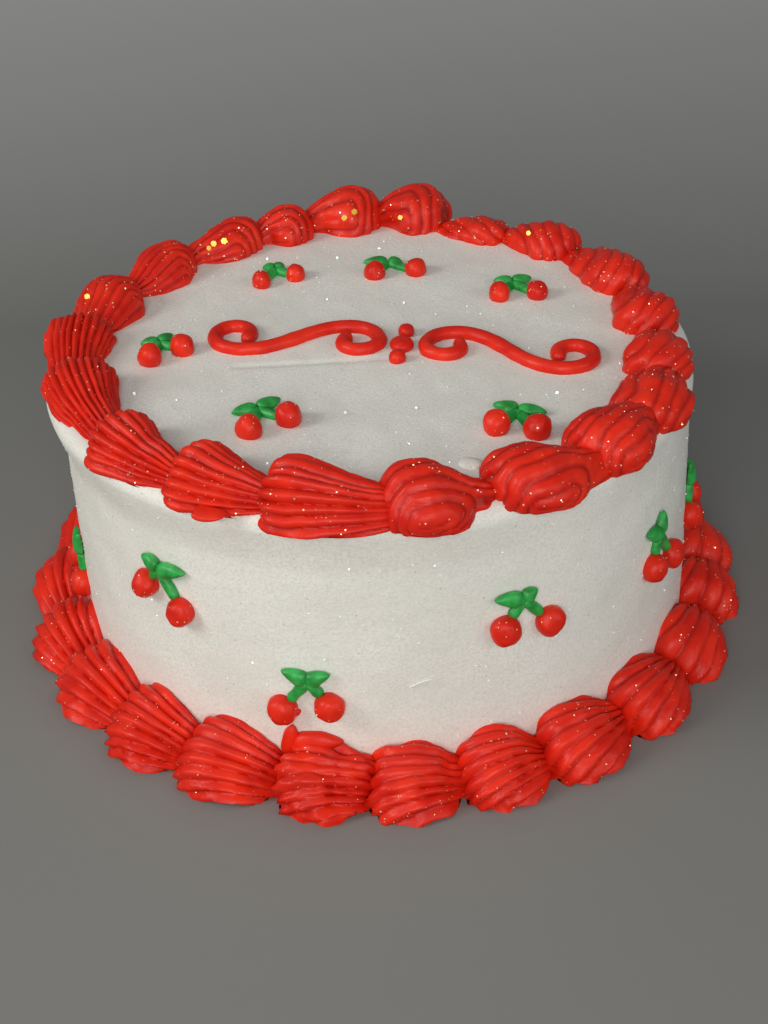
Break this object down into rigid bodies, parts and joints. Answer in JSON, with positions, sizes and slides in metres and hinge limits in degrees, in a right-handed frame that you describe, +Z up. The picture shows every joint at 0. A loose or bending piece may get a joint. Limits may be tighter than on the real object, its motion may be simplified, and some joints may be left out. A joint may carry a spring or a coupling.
{
  "type": "mini cake",
  "caption": "Small round cake in smooth white icing, with piped red shell borders round its top edge and foot, piped cherries on its top and wall, and red scrolls across the top.",
  "frame": {"origin": "middle of the cake's flat underside", "axes": "+Z up, -Y towards the front that the picture shows, +X to the right"},
  "size_m": [0.1451, 0.1444, 0.0644],
  "materials": {
    "white_icing": "smooth spread white icing, fine grained and matte, with fine edible glitter",
    "red_icing": "stiff piped red icing, satin, ridged by a star nozzle, with fine edible glitter",
    "green_icing": "stiff piped green icing, satin"
  },
  "bodies": {
    "root": {"cake_body": "white_icing", "top_border": "red_icing", "base_border": "red_icing", "top_cherries_1_left": "red_icing", "top_cherries_1_right": "red_icing", "top_cherries_1_green": "green_icing", "top_cherries_2_left": "red_icing", "top_cherries_2_right": "red_icing", "top_cherries_2_green": "green_icing", "top_cherries_3_left": "red_icing", "top_cherries_3_right": "red_icing", "top_cherries_3_green": "green_icing", "top_cherries_4_left": "red_icing", "top_cherries_4_right": "red_icing", "top_cherries_4_green": "green_icing", "top_cherries_5_left": "red_icing", "top_cherries_5_right": "red_icing", "top_cherries_5_green": "green_icing", "top_cherries_6_left": "red_icing", "top_cherries_6_right": "red_icing", "top_cherries_6_green": "green_icing", "side_cherries_1_left": "red_icing", "side_cherries_1_right": "red_icing", "side_cherries_1_green": "green_icing", "side_cherries_2_left": "red_icing", "side_cherries_2_right": "red_icing", "side_cherries_2_green": "green_icing", "side_cherries_3_left": "red_icing", "side_cherries_3_right": "red_icing", "side_cherries_3_green": "green_icing", "side_cherries_4_left": "red_icing", "side_cherries_4_right": "red_icing", "side_cherries_4_green": "green_icing", "side_cherries_5_left": "red_icing", "side_cherries_5_right": "red_icing", "side_cherries_5_green": "green_icing", "side_cherries_6_left": "red_icing", "side_cherries_6_right": "red_icing", "side_cherries_6_green": "green_icing", "side_cherries_7_left": "red_icing", "side_cherries_7_right": "red_icing", "side_cherries_7_green": "green_icing", "side_cherries_8_left": "red_icing", "side_cherries_8_right": "red_icing", "side_cherries_8_green": "green_icing", "side_cherries_9_left": "red_icing", "side_cherries_9_right": "red_icing", "side_cherries_9_green": "green_icing", "side_cherries_10_left": "red_icing", "side_cherries_10_right": "red_icing", "side_cherries_10_green": "green_icing", "scroll_left": "red_icing", "scroll_right": "red_icing", "scroll_dot_1": "red_icing", "scroll_dot_2": "red_icing", "scroll_dot_3": "red_icing"}
  },
  "joints": []
}
